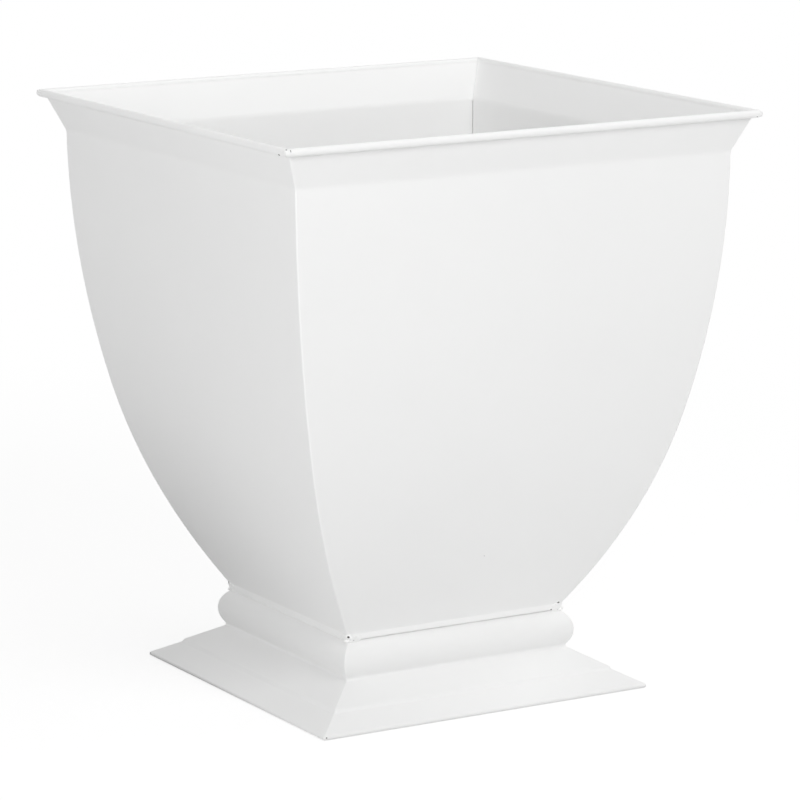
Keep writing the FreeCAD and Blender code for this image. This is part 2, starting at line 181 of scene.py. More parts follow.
class SheetPath:
    """One face of a bent sheet in section: stops of (across, up, heading), each run tangent to the last."""

    def __init__(self, across, up):
        self.stops = [(across, up, 0.0)]

    def run(self, length):
        """Go straight on."""
        across, up, heading = self.stops[-1]
        self.stops.append((across + length * math.cos(heading), up + length * math.sin(heading), heading))

    def bend(self, radius, turn, spans):
        """Turn left by an angle, or right where it is negative."""
        across, up, heading = self.stops[-1]
        side = math.copysign(1, turn)
        centre = (across - side * radius * math.sin(heading), up + side * radius * math.cos(heading))
        for step in range(1, spans + 1):
            now = heading + turn * step / spans
            self.stops.append((centre[0] + side * radius * math.sin(now),
                               centre[1] - side * radius * math.cos(now), now))

    def other_face(self, side):
        """The sheet's other face, to the left of the path for side 1 and to the right for -1."""
        return [(across - side * SHEET * math.sin(heading), up + side * SHEET * math.cos(heading))
                for across, up, heading in self.stops]


def wall_lean_at_belly(lower, upper, reach):
    """The lean where the wall's two arcs meet, so that together they reach from the lip to the neck."""
    low, high = NECK_LEAN, BASE_LEAN
    halvings = 60
    for _ in range(halvings):
        middle = (low + high) / 2
        got = lower * math.tan((BASE_LEAN + middle) / 2) + upper * math.tan((middle + NECK_LEAN) / 2)
        low, high = (middle, high) if got < reach else (low, middle)
    return middle


def bowl_section():
    """Flange, lip, wall in two arcs, neck, flare and rolled rim.

    With the path come the side of the sheet's other face, how free each stop is to wave, and how far
    either face stays short of the mitre.
    """
    path = SheetPath(LIP_HALF - FLANGE_WIDTH, SEAM)
    path.run(FLANGE_WIDTH - FLANGE_BEND)
    path.bend(FLANGE_BEND, math.pi / 2, spans=8)
    path.run(LIP_HEIGHT - FLANGE_BEND)
    path.bend(LIP_FOLD, -BASE_LEAN, spans=5)
    across, up, _ = path.stops[-1]
    lower, upper = BELLY_HEIGHT - up, NECK_HEIGHT - BELLY_HEIGHT
    lean = wall_lean_at_belly(lower, upper, NECK_HALF - across)
    wall_start = len(path.stops)
    path.bend(lower / (math.sin(BASE_LEAN) - math.sin(lean)), BASE_LEAN - lean, spans=20)
    path.bend(upper / (math.sin(lean) - math.sin(NECK_LEAN)), lean - NECK_LEAN, spans=24)
    wall_end = len(path.stops)
    # The flare is the inner common tangent of the neck bend and the brow bend under the roll.
    across, up, heading = path.stops[-1]
    neck_centre = Vector((across + NECK_BEND * math.sin(heading), up - NECK_BEND * math.cos(heading)))
    roll_start = RIM_HALF - BEAD_RADIUS - CURL_RADIUS
    gap = Vector((roll_start - BROW_BEND, RIM_TOP - BEAD_RADIUS)) - neck_centre
    bends = NECK_BEND + BROW_BEND
    flare = math.atan2(gap.y, gap.x) - math.asin(bends / gap.length)
    path.bend(NECK_BEND, flare - heading, spans=6)
    path.run(math.sqrt(gap.length_squared - bends ** 2))
    path.bend(BROW_BEND, math.pi / 2 - flare, spans=6)
    roll = len(path.stops)
    path.bend(CURL_RADIUS, -CURL_TURN, spans=36)

    slack = [0.0] * len(path.stops)
    for stop in range(wall_start, wall_end):
        slack[stop] = math.sin(math.pi * (stop - wall_start) / (wall_end - 1 - wall_start)) ** 2
    open_face = [0.0 if stop < roll else OPEN_BEAD for stop in range(len(path.stops))]
    open_back = [OPEN_INSIDE if stop < wall_end else OPEN_BEAD for stop in range(len(path.stops))]
    return path, 1, slack, open_face, open_back


def plinth_section():
    """Top flange, half-round, hollow, skirt, step, foot edge and the flange folded under it."""
    torus_centre = Vector((TORUS_HALF - TORUS_RADIUS, SEAM + TORUS_CUT - TORUS_RADIUS))
    reach = TORUS_RADIUS - SHOULDER_BEND
    shoulder = math.acos((reach - TORUS_CUT) / reach)
    skirt_end = Vector((SKIRT_HALF, STEP_HEIGHT))
    height = (torus_centre - skirt_end).dot(Vector((math.sin(SKIRT_SLOPE), math.cos(SKIRT_SLOPE))))
    scotia = math.acos((SCOTIA_RADIUS - height) / (TORUS_RADIUS + SCOTIA_RADIUS))
    start = LIP_HALF - FLANGE_WIDTH

    path = SheetPath(start, SEAM)
    path.run(torus_centre.x + reach * math.sin(shoulder) - start)
    path.bend(SHOULDER_BEND, -shoulder, spans=5)
    path.bend(TORUS_RADIUS, shoulder - SKIRT_SLOPE - scotia, spans=28)
    path.bend(SCOTIA_RADIUS, scotia, spans=14)
    path.run((skirt_end - Vector(path.stops[-1][:2])).length)
    path.bend(STEP_BEND, -STEP_TURN, spans=6)
    # The margin is the outer tangent from the step's hollow to the folded edge.
    across, up, heading = path.stops[-1]
    hollow_centre = Vector((across - STEP_BEND * math.sin(heading), up + STEP_BEND * math.cos(heading)))
    gap = Vector((FOOT_HALF - HEM, HEM)) - hollow_centre
    margin = math.atan2(gap.y, gap.x) + math.asin((STEP_BEND + HEM) / gap.length)
    path.bend(STEP_BEND, margin - heading, spans=6)
    path.run(math.sqrt(gap.length_squared - (STEP_BEND + HEM) ** 2))
    path.bend(HEM, -math.pi - margin, spans=12)
    path.run(FOOT_RETURN - HEM)
    level = [0.0] * len(path.stops)
    return path, -1, level, level, [OPEN_BEAD] * len(path.stops)


def section_mesh(name, path, side, slack, open_face, open_back):
    """The closed outline of the sheet: one face, then back along the other, ending where it started."""
    face = [(0, across, up) for across, up, _ in path.stops]
    back = [(0, across, up) for across, up in path.other_face(side)]
    points = face + back[::-1] + face[:1]
    mesh = bpy.data.meshes.new(name)
    mesh.from_pydata(points, [(n, n + 1) for n in range(len(points) - 1)], [])
    rows = {"slack": slack + slack[::-1] + slack[:1],
            "open": open_face + open_back[::-1] + open_face[:1]}
    for label, values in rows.items():
        mesh.attributes.new(label, "FLOAT", "POINT").data.foreach_set("value", values)
    return mesh


def formed_sheet_tree():
    """Carries a sheet section from mitre to mitre, round the corners at both ends."""
    tree, given = new_tree("formed_sheet", {
        "Corner Round": "Float", "Corner Spans": "Int", "Face Spans": "Int", "Wave Depth": "Float",
        "Wave Length": "Float", "Turn": "Float", "Coat": "Material"})
    section, corner = given["Geometry"], given["Corner Round"]
    rows = add(tree, "GeometryNodeAttributeDomainSize", Geometry=section).outputs["Point Count"]
    ends = calc(tree, "MULTIPLY", given["Corner Spans"], 2)
    columns = calc(tree, "ADD", calc(tree, "ADD", given["Face Spans"], ends), 1)
    grid = add(tree, "GeometryNodeMeshGrid", Vertices_X=columns, Vertices_Y=rows)
    index = add(tree, "GeometryNodeInputIndex").outputs[0]
    row = calc(tree, "MODULO", index, rows)
    column = calc(tree, "FLOOR", calc(tree, "DIVIDE", index, rows))

    def read(kind, value):
        return add(tree, "GeometryNodeSampleIndex", {"data_type": kind}, Geometry=section, Value=value,
                   Index=row).outputs[0]

    def named(label):
        return read("FLOAT", add(tree, "GeometryNodeInputNamedAttribute", Name=label).outputs["Attribute"])

    place = read("FLOAT_VECTOR", add(tree, "GeometryNodeInputPosition").outputs[0])
    place = add(tree, "ShaderNodeSeparateXYZ", Vector=place)
    half, up = place.outputs["Y"], place.outputs["Z"]

    # A column lies on the flat face, or past it on the rounded corner, swung up to the mitre.
    past = calc(tree, "SUBTRACT", column, given["Corner Spans"])
    along = calc(tree, "DIVIDE", past, given["Face Spans"], clamp=True)
    over = calc(tree, "SUBTRACT", past, calc(tree, "MULTIPLY", along, given["Face Spans"]))
    over = calc(tree, "DIVIDE", over, given["Corner Spans"])
    mitre = calc(tree, "SUBTRACT", math.pi / 4, calc(tree, "DIVIDE", named("open"), corner))
    swing = calc(tree, "MULTIPLY", over, mitre)
    from_middle = calc(tree, "SUBTRACT", calc(tree, "MULTIPLY", along, 2), 1)
    flat = calc(tree, "MULTIPLY", from_middle, calc(tree, "SUBTRACT", half, corner))
    x = calc(tree, "ADD", flat, calc(tree, "MULTIPLY", corner, calc(tree, "SINE", swing)))
    inset = calc(tree, "MULTIPLY", corner, calc(tree, "SUBTRACT", 1, calc(tree, "COSINE", swing)))
    y = calc(tree, "SUBTRACT", half, inset)

    # Long shallow waves in the broad wall, held flat at the corners, the lip and the neck.
    spot = add(tree, "ShaderNodeCombineXYZ", X=x, Y=given["Turn"], Z=up).outputs[0]
    waves = add(tree, "ShaderNodeTexNoise", Vector=spot, Detail=1.0,
                Scale=calc(tree, "DIVIDE", 1, given["Wave Length"]))
    wave = calc(tree, "SUBTRACT", waves.outputs["Fac"], NOISE_MEAN)
    freedom = calc(tree, "SUBTRACT", 1, calc(tree, "MULTIPLY", from_middle, from_middle))
    freedom = calc(tree, "MULTIPLY", freedom, named("slack"))
    wave = calc(tree, "MULTIPLY", calc(tree, "MULTIPLY", wave, freedom), given["Wave Depth"])
    spot = add(tree, "ShaderNodeCombineXYZ", X=x, Y=calc(tree, "ADD", y, wave), Z=up).outputs[0]

    sheet = add(tree, "GeometryNodeSetPosition", Geometry=grid.outputs["Mesh"], Position=spot)
    turn = add(tree, "ShaderNodeCombineXYZ", Z=given["Turn"]).outputs[0]
    in_place = add(tree, "GeometryNodeTransform", Geometry=sheet.outputs[0], Rotation=turn)
    end_tree(tree, in_place.outputs[0], given["Coat"])
    return tree


def close_sheet(piece, stops):
    """Close a formed sheet at its two mitres and along its edge, and set its creases."""
    form = bmesh.new()
    form.from_mesh(piece.data)
    form.verts.ensure_lookup_table()
    rows = 2 * stops + 1
    columns = len(form.verts) // rows
    for column in (0, columns - 1):
        first = column * rows
        for stop in range(stops - 1):
            corners = (stop, stop + 1, rows - 3 - stop, rows - 2 - stop)
            form.faces.new([form.verts[first + corner] for corner in corners])
    bmesh.ops.remove_doubles(form, verts=form.verts, dist=MERGE_GAP)
    bmesh.ops.recalc_face_normals(form, faces=form.faces)
    for face in form.faces:
        face.smooth = True
    form.to_mesh(piece.data)
    form.free()
    piece.data.set_sharp_from_angle(angle=CREASE_ANGLE)


def formed_panels(kind, section, corner, face_spans, coat, tree):
    """Four panels of one section, each standing for its solid."""
    path = section[0]
    for side, turn in SIDES.items():
        start = section_mesh(f"{kind}_section", *section)
        piece = grow(f"{kind}_sheet_{side}", start, tree, {
            "Corner Round": corner, "Corner Spans": CORNER_SPANS, "Face Spans": face_spans,
            "Wave Depth": WAVE_DEPTH, "Wave Length": WAVE_LENGTH, "Turn": math.radians(turn), "Coat": coat})
        close_sheet(piece, len(path.stops))
        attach(piece, "planter")
        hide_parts(f"{kind}_panel_{side}")


# Weld marks, as the grinder and the coat left them

# Each row starts with a side and a place right of its middle, in millimetres. It ends with the dab: half its
# length, half its height and its thickness, in millimetres, and the share of it that is a pinhole.

# On the wall and lip: the place's height, then the dab's swing to the right and tilt up, in degrees.
WALL_WELDS = [
    ("front", -106.4, 70.0, -45, 0, 3.0, 2.3, 1.4, 0.50),
    ("front", -99.5, 69.2, 0, 0, 3.6, 1.4, 0.5, 0.0),
    ("front", 102.6, 72.9, 0, -14, 2.3, 1.3, 0.9, 0.62),
    ("front", 100.4, 70.8, 0, 0, 3.4, 1.5, 0.6, 0.0),
    ("front", 95.6, 67.4, 0, -20, 1.6, 1.1, 0.8, 0.60),
    ("front", 6.3, 133.7, 0, -26, 0.8, 0.6, 0.3, 0.60),
    ("left", -105.0, 72.4, 0, -12, 1.7, 2.5, 1.1, 0.60),
    ("left", -100.0, 70.2, 0, 0, 3.0, 1.5, 0.5, 0.0),
    ("left", 98.0, 69.8, 0, 0, 3.6, 1.4, 0.4, 0.0),
    ("right", -104.8, 71.0, 0, -6, 2.0, 1.6, 0.8, 0.45),
    ("right", 103.0, 70.4, 0, 0, 2.8, 1.5, 0.6, 0.0),
    ("back", 106.4, 70.8, 45, 0, 2.0, 2.1, 1.1, 0.45),
    ("back", -101.8, 70.0, 0, 0, 3.1, 1.3, 0.6, 0.40),
]

# On the rolled rim and the foot edge, sunk a little into them: the angle up round the roll, in degrees.
RIM_WELDS = [
    ("left", 216.6, -40, 2.4, 1.3, 0.9, 0.75),
    ("left", 224.4, 32, 2.2, 1.3, 0.85, 0.0),
    ("front", -225.2, 40, 2.4, 1.2, 0.7, 0.0),
    ("front", -226.8, 62, 1.5, 0.9, 0.78, 0.70),
    ("front", -223.4, 34, 0.6, 1.5, 0.74, 0.95),
    ("front", 225.9, 36, 2.2, 1.3, 0.9, 0.0),
    ("front", 222.4, -38, 1.3, 1.1, 0.9, 0.50),
    ("left", -225.8, 35, 2.2, 1.2, 0.9, 0.0),
    ("back", 225.9, 38, 2.2, 1.2, 0.9, 0.40),
    ("back", -218.0, -42, 1.4, 1.2, 0.9, 0.50),
]
FOOT_WELDS = [
    ("front", -158.2, 15, 1.5, 1.1, 1.0, 0.60),
    ("front", 157.8, 30, 2.0, 1.2, 0.9, 0.0),
    ("left", -157.6, 25, 2.1, 1.2, 0.9, 0.35),
    ("right", 158.0, 28, 1.8, 1.2, 0.9, 0.0),
]
ROLL_SINK = 0.6 * MM

# Fills at the ends of the seam groove, in millimetres: side, place right of its middle, half length.
END_FILLS = [
    ("front", 102.8, 6.8), ("front", -101.3, 8.3), ("back", 102.0, 7.5), ("back", -101.5, 8.0),
    ("right", 101.5, 8.0), ("right", -102.0, 7.5), ("left", 98.5, 11.0), ("left", -102.5, 7.0),
]
END_FILL_THICKNESS = 1.7

# The left groove is partly filled all along, by overlapping lengths, in the same measures.
LONG_FILL_PLACES = range(68, -69, -34)
LONG_FILL_LENGTH = 42.0
LONG_FILL_THICKNESS = 0.55

# Half the height of every fill, in millimetres, and where it lies behind the lip and above the seam
FILL_HEIGHT = 2.2
FILL_DEPTH = 2.0 * MM
FILL_RAISE = 0.2 * MM

# How a dab is made: its facets, lumps and pinhole
DAB_SEGMENTS = 28
DAB_RINGS = 24
LUMP_LENGTH = 1.6 * MM
LUMP_HEIGHT = 0.35 * MM
PINHOLE_DEPTH = 0.7
LEAST_PINHOLE = 0.01
CROWN_START = 0.1


def half_at(path, up):
    """Half width of the bowl's outer face at a height on its lip or wall."""
    for (across, low, _), (onward, high, _) in zip(path.stops, path.stops[1:]):
        if low <= up <= high and high > low:
            return across + (onward - across) * (up - low) / (high - low)
    raise ValueError(f"no wall at height {up}")


def turned(side, vector):
    """A place or direction on the back side, carried round to a side; +X there is the side's left end."""
    return Matrix.Rotation(math.radians(SIDES[side]), 3, "Z") @ Vector(vector)


def weld_points(bowl_path):
    """A point for every dab, with its face, run, extent, pinhole and height proud of the metal."""
    dabs = []

    def mark(side, place, half, up, extent, pinhole=0.0, swing=0, tilt=0, sink=0.0):
        swing, tilt = math.radians(swing), math.radians(tilt)
        face = (-math.sin(swing) * math.cos(tilt), math.cos(swing) * math.cos(tilt), math.sin(tilt))
        run = (math.cos(swing), math.sin(swing), 0)
        extent = [size * MM for size in extent]
        dabs.append({"place": turned(side, (-place * MM, half, up)), "facing": turned(side, face),
                     "run": turned(side, run), "extent": extent, "hole": pinhole, "proud": extent[2] - sink})

    for side, place, height, swing, tilt, *extent, pinhole in WALL_WELDS:
        up = height * MM
        mark(side, place, half_at(bowl_path, up), up, extent, pinhole, swing, tilt)
    rolls = [(RIM_WELDS, RIM_HALF - BEAD_RADIUS, RIM_TOP - BEAD_RADIUS, BEAD_RADIUS - ROLL_SINK),
             (FOOT_WELDS, FOOT_HALF - HEM, HEM, HEM - ROLL_SINK)]
    for welds, half, up, radius in rolls:
        for side, place, angle, *extent, pinhole in welds:
            out, lift = radius * math.cos(math.radians(angle)), radius * math.sin(math.radians(angle))
            mark(side, place, half + out, up + lift, extent, pinhole, tilt=angle, sink=ROLL_SINK)
    fills = [(*fill, END_FILL_THICKNESS) for fill in END_FILLS]
    fills += [("left", place, LONG_FILL_LENGTH, LONG_FILL_THICKNESS) for place in LONG_FILL_PLACES]
    for side, place, length, thickness in fills:
        mark(side, place, LIP_HALF - FILL_DEPTH, SEAM + FILL_RAISE, (length, FILL_HEIGHT, thickness))

    start = bpy.data.meshes.new("weld_points")
    start.from_pydata([dab["place"] for dab in dabs], [], [])
    for label in ("facing", "run", "extent"):
        values = [part for dab in dabs for part in dab[label]]
        start.attributes.new(label, "FLOAT_VECTOR", "POINT").data.foreach_set("vector", values)
    for label in ("hole", "proud"):
        values = [dab[label] for dab in dabs]
        start.attributes.new(label, "FLOAT", "POINT").data.foreach_set("value", values)
    return start


def weld_tree():
    """Sets a lumpy dab at each point, turned to its face, with a pinhole in its crown where one is given."""
    tree, given = new_tree("weld_marks", {
        "Segments": "Int", "Rings": "Int", "Lump Length": "Float", "Lump Height": "Float",
        "Pinhole Depth": "Float", "Coat": "Material"})

    def named(label, kind):
        made = add(tree, "GeometryNodeInputNamedAttribute", {"data_type": kind}, Name=label)
        return made.outputs["Attribute"]

    ball = add(tree, "GeometryNodeMeshUVSphere", Segments=given["Segments"], Rings=given["Rings"],
               Radius=1.0)
    ball = add(tree, "GeometryNodeStoreNamedAttribute", {"data_type": "FLOAT_VECTOR"},
               Geometry=ball.outputs["Mesh"], Name="spot",
               Value=add(tree, "GeometryNodeInputPosition").outputs[0])
    turn = add(tree, "FunctionNodeAxesToRotation", {"primary_axis": "Z", "secondary_axis": "X"},
               Primary_Axis=named("facing", "FLOAT_VECTOR"), Secondary_Axis=named("run", "FLOAT_VECTOR"))
    dabs = add(tree, "GeometryNodeInstanceOnPoints", Points=given["Geometry"],
               Instance=ball.outputs["Geometry"], Rotation=turn.outputs[0],
               Scale=named("extent", "FLOAT_VECTOR"))
    real = add(tree, "GeometryNodeRealizeInstances", Geometry=dabs.outputs[0])

    # Lumps grow towards the crown, and the pinhole is a small steep pit in it.
    spot = add(tree, "ShaderNodeSeparateXYZ", Vector=named("spot", "FLOAT_VECTOR"))
    crown = calc(tree, "MAXIMUM", spot.outputs["Z"], 0)
    grain = add(tree, "ShaderNodeTexNoise", Vector=add(tree, "GeometryNodeInputPosition").outputs[0],
                Detail=2.0, Scale=calc(tree, "DIVIDE", 1, given["Lump Length"])).outputs["Fac"]
    lumps = calc(tree, "MULTIPLY", calc(tree, "SUBTRACT", grain, NOISE_MEAN), given["Lump Height"])
    across = calc(tree, "SQRT", calc(tree, "ADD", calc(tree, "POWER", spot.outputs["X"], 2),
                                     calc(tree, "POWER", spot.outputs["Y"], 2)))
    hole = calc(tree, "MAXIMUM", named("hole", "FLOAT"), LEAST_PINHOLE)
    inside = calc(tree, "SUBTRACT", 1, calc(tree, "DIVIDE", across, hole), clamp=True)
    on_crown = calc(tree, "GREATER_THAN", crown, CROWN_START)
    inside = calc(tree, "MULTIPLY", calc(tree, "SQRT", inside), on_crown)
    depth = calc(tree, "MULTIPLY", given["Pinhole Depth"], named("proud", "FLOAT"))
    sunk = calc(tree, "MULTIPLY", inside, depth)
    rise = calc(tree, "SUBTRACT", calc(tree, "MULTIPLY", lumps, crown), sunk)
    shift = add(tree, "ShaderNodeVectorMath", {"operation": "SCALE"}, Scale=rise)
    feed(tree, shift.inputs[0], named("facing", "FLOAT_VECTOR"))
    formed = add(tree, "GeometryNodeSetPosition", Geometry=real.outputs[0], Offset=shift.outputs[0])
    shaded = add(tree, "GeometryNodeStoreNamedAttribute", {"data_type": "FLOAT"},
                 Geometry=formed.outputs[0], Name="pinhole", Value=inside)
    end_tree(tree, shaded.outputs[0], given["Coat"])
    return tree


def weld_marks(bowl_path, coat):
    """All the dabs and fills, as one piece on the planter."""
    piece = grow("weld_marks", weld_points(bowl_path), weld_tree(), {
        "Segments": DAB_SEGMENTS, "Rings": DAB_RINGS, "Lump Length": LUMP_LENGTH,
        "Lump Height": LUMP_HEIGHT, "Pinhole Depth": PINHOLE_DEPTH, "Coat": coat})
    for face in piece.data.polygons:
        face.use_smooth = True
    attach(piece, "planter")


# Drain plug, in millimetres

# Upwards from its tapered end: radius, height above the floor plate, rounding
PLUG_OUTLINE = [
    (8.6, -9.0, 0.6), (10.9, -7.0, 1.2), (10.9, -0.4, 0.3), (11.6, 0.0, 0.2),
    (18.0, 0.0, 0.7), (18.0, 3.0, 1.1), (15.2, 3.25, 0.5), (14.6, 2.75, 0.4),
    (13.4, 2.75, 0.4), (12.8, 3.35, 0.5), (3.5, 3.4, 1.6), (3.5, 8.0, 0.9),
]
KNOB_RADIUS = 6.5

# Out and up from the top of the waist, the way that its last rounding heads
KNOB_APPROACH = (1.0, 0.4)

PLUG_SEGMENTS = 72
KNOB_SPANS = 20
ROUNDING_SPANS = 6

# The most of a straight stretch that one rounding may take
ROUNDING_SHARE = 0.45


def rounded(corners):
    """An outline from the axis round its corners, each rounded off; the last only gives a direction."""
    places = [Vector((0, corners[0][1])), *[Vector(corner[:2]) for corner in corners]]
    outline = []
    for before, corner, after, (_, _, rounding) in zip(places, places[1:], places[2:], corners):
        back, onward = before - corner, after - corner
        most = ROUNDING_SHARE * min(back.length, onward.length)
        reach = min(rounding / math.tan(back.angle(onward) / 2), most)
        for step in range(ROUNDING_SPANS + 1):
            share = step / ROUNDING_SPANS
            outline.append(corner + back.normalized() * reach * (1 - share) ** 2
                           + onward.normalized() * reach * share ** 2)
    return outline


def lathed_plug(finish):
    """The stopper: tapered body, flange with a ring groove, waist and round knob."""
    waist, waist_top, _ = PLUG_OUTLINE[-1]
    knob_centre = waist_top + math.sqrt(KNOB_RADIUS ** 2 - waist ** 2)
    knob_start = math.asin(waist / KNOB_RADIUS)
    onto_knob = (waist + KNOB_APPROACH[0], waist_top + KNOB_APPROACH[1], 0)
    outline = rounded([*PLUG_OUTLINE, onto_knob])
    for step in range(1, KNOB_SPANS):
        turn = knob_start + (math.pi - knob_start) * step / KNOB_SPANS
        outline.append(Vector((KNOB_RADIUS * math.sin(turn), knob_centre - KNOB_RADIUS * math.cos(turn))))
    low, high = outline[0].y, knob_centre + KNOB_RADIUS

    form = bmesh.new()

    def ring(radius, up):
        turns = [2 * math.pi * n / PLUG_SEGMENTS for n in range(PLUG_SEGMENTS)]
        out, level = radius * MM, PLATE_TOP + up * MM
        return [form.verts.new((out * math.cos(turn), out * math.sin(turn), level)) for turn in turns]

    rings = [ring(radius, up) for radius, up in outline]
    for lower, upper in zip(rings, rings[1:]):
        for n in range(PLUG_SEGMENTS):
            onward = (n + 1) % PLUG_SEGMENTS
            form.faces.new((lower[n], lower[onward], upper[onward], upper[n]))
    for end, up in ((rings[0], low), (rings[-1], high)):
        pole = form.verts.new((0, 0, PLATE_TOP + up * MM))
        for n in range(PLUG_SEGMENTS):
            form.faces.new((end[n], end[(n + 1) % PLUG_SEGMENTS], pole))
    bmesh.ops.recalc_face_normals(form, faces=form.faces)
    for face in form.faces:
        face.smooth = True
    mesh = bpy.data.meshes.new("rubber_plug")
    form.to_mesh(mesh)
    form.free()
    mesh.materials.append(finish)
    plug = bpy.data.objects.new("rubber_plug", mesh)
    bpy.context.scene.collection.objects.link(plug)
    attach(plug, "plug")
    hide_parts("drain_plug")


# Finishes

# The coat's tones. The plinth's is a shade greyer than the bowl's: painted shade, for the lesser light that
# reaches the plinth under the bowl.
COAT_TONES = [(0.916, 0.917, 0.914), (0.944, 0.945, 0.941)]
PLINTH_PAINTED_SHADE = 0.96
# Pinholes: near black, painted shade in the pits over their bare metal
PINHOLE_PAINTED_SHADE = (0.055, 0.052, 0.050)

# A mix node's two colours and its result, which share their names with other sockets
MIX_FIRST, MIX_SECOND, MIX_RESULT = 6, 7, 2


def new_finish(name):
    """A material with its node tree, its shader and the place on the object."""
    finish = bpy.data.materials.new(name)
    finish.use_nodes = True
    tree = finish.node_tree
    shader = tree.nodes["Principled BSDF"]
    spot = add(tree, "ShaderNodeTexCoord").outputs["Object"]
    return finish, tree, shader, spot


def noise(tree, spot, size, detail):
    """Soft clouds of about a size, from 0 to 1."""
    return add(tree, "ShaderNodeTexNoise", Vector=spot, Scale=1 / size, Detail=detail).outputs["Fac"]


def between(tree, factor, low, high):
    """A value from low to high as the factor goes from 0 to 1."""
    made = add(tree, "ShaderNodeMapRange", Value=factor, To_Min=low, To_Max=high)
    return made.outputs["Result"]


def tint(tree, factor, low, high):
    """A colour from low to high as the factor goes from 0 to 1."""
    ramp = add(tree, "ShaderNodeValToRGB", Fac=factor)
    ramp.color_ramp.elements[0].color = (*low, 1)
    ramp.color_ramp.elements[1].color = (*high, 1)
    return ramp.outputs["Color"]


def bump(tree, height, strength, depth, under=None):
    """Fine relief, on top of another one where that is given."""
    made = add(tree, "ShaderNodeBump", Height=height, Strength=strength, Distance=depth)
    if under:
        feed(tree, made.inputs["Normal"], under)
    return made.outputs["Normal"]


def white_coat(name, shade=1.0, pinholes=False):
    """Satin powder coat: fine orange peel, a few nibs, uneven tone and gloss, and weld pinholes painted near
    black: bare metal in the pits, with painted shade over it.
    """
    finish, tree, shader, spot = new_finish(name)
    low, high = [[shade * part for part in tone] for tone in COAT_TONES]
    tone = tint(tree, noise(tree, spot, size=180 * MM, detail=3.0), low, high)
    if pinholes:
        # The pinholes' pits are painted near black: bare metal, darkened further with painted shade.
        hole = add(tree, "ShaderNodeAttribute", {"attribute_name": "pinhole"}).outputs["Fac"]
        pit_shade = add(tree, "ShaderNodeMapRange", Value=hole, From_Min=0.15, From_Max=0.7).outputs["Result"]
        mix = add(tree, "ShaderNodeMix", {"data_type": "RGBA"}, Factor=pit_shade)
        feed(tree, mix.inputs[MIX_FIRST], tone)
        feed(tree, mix.inputs[MIX_SECOND], (*PINHOLE_PAINTED_SHADE, 1))
        tone = mix.outputs[MIX_RESULT]
    feed(tree, shader.inputs["Base Color"], tone)
    shader.inputs["Specular IOR Level"].default_value = 0.25
    patches = noise(tree, spot, size=40 * MM, detail=2.0)
    feed(tree, shader.inputs["Roughness"], between(tree, patches, low=0.50, high=0.62))
    peel = bump(tree, noise(tree, spot, size=2.2 * MM, detail=2.0), strength=0.12, depth=0.2 * MM)
    cells = add(tree, "ShaderNodeTexVoronoi", Vector=spot, Scale=1 / (22 * MM)).outputs["Distance"]
    nibs = add(tree, "ShaderNodeMapRange", Value=cells, From_Min=0.012, From_Max=0.03, To_Min=1.0,
               To_Max=0.0).outputs["Result"]
    feed(tree, shader.inputs["Normal"], bump(tree, nibs, strength=0.3, depth=0.15 * MM, under=peel))
    return finish


def drawn_wire():
    """Bare steel wire, slightly mottled."""
    finish, tree, shader, spot = new_finish("drawn_wire")
    marks = noise(tree, spot, size=3 * MM, detail=6.0)
    tone = tint(tree, marks, low=(0.42, 0.42, 0.43), high=(0.58, 0.58, 0.59))
    feed(tree, shader.inputs["Base Color"], tone)
    feed(tree, shader.inputs["Roughness"], between(tree, marks, low=0.3, high=0.5))
    shader.inputs["Metallic"].default_value = 1.0
    return finish


def moulded_rubber():
    """Black rubber, dull, with the slight bloom that it gets with age."""
    finish, tree, shader, spot = new_finish("moulded_rubber")
    bloom = noise(tree, spot, size=8 * MM, detail=4.0)
    tone = tint(tree, bloom, low=(0.018, 0.018, 0.020), high=(0.050, 0.050, 0.053))
    feed(tree, shader.inputs["Base Color"], tone)
    feed(tree, shader.inputs["Roughness"], between(tree, bloom, low=0.62, high=0.82))
    grain = noise(tree, spot, size=0.7 * MM, detail=2.0)
    feed(tree, shader.inputs["Normal"], bump(tree, grain, strength=0.25, depth=0.1 * MM))
    return finish


def finish_node(name, finish):
    """Give a solid that stays in view its finish."""
    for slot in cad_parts[name].material_slots:
        slot.material = finish


# Stage, light and camera

# Floor: its size and how far it lies under the feet
FLOOR_HALF = 12
FLOOR_DROP = 0.2 * MM

# The share of light that the floor gives back, and less of it in one patch, a painted shadow that dims the
# light bounced onto the plinth's left, with the patch's place and reach
FLOOR_TONE = 0.8
FLOOR_SHADOW_TONE = 0.05
FLOOR_SHADOW_PLACE = (-0.22, 0.20, 0)
FLOOR_SHADOW_REACH = (0.12, 0.30)

# How the floor shows: its tone, the white added to it, and the distances over which it fades to plain white
FLOOR_SHOWN = 0.315
FLOOR_LIFT = 0.76
FLOOR_FADE = (0.5, 1.8)

# Light from all round, and softboxes: place round the object and height in degrees, distance, width, watts
WORLD_LIGHT = 0.37
LIGHT_AIM = Vector((0, 0, 0.28))
SOFTBOXES = {
    "front_softbox": (0, 28, 2.5, 1.2, 19.7),
    "left_softbox": (-68, 12, 2.5, 1.3, 19.2),
    "right_softbox": (85, 30, 2.5, 1.6, 15.7),
    "back_softbox": (160, 12, 2.5, 1.3, 7.6),
    "top_softbox": (0, 88, 1.0, 0.7, 1.5),
}

# Camera: what it looks at, where it stands, and its lens and sensor in millimetres
CAMERA_AIM = Vector((6.2, -1.9, 244.1)) * MM
CAMERA_DISTANCE = 3.532
CAMERA_AZIMUTH = math.radians(-30.19)
CAMERA_ELEVATION = math.radians(11.47)
CAMERA_ROLL = math.radians(-0.25)
CAMERA_LENS = 182.3
CAMERA_SENSOR = 36


def place_round(azimuth, elevation):
    """The direction from the object to a place round it: azimuth 0 is the front, 90 degrees the right."""
    level = math.cos(elevation)
    return Vector((math.sin(azimuth) * level, -math.cos(azimuth) * level, math.sin(elevation)))


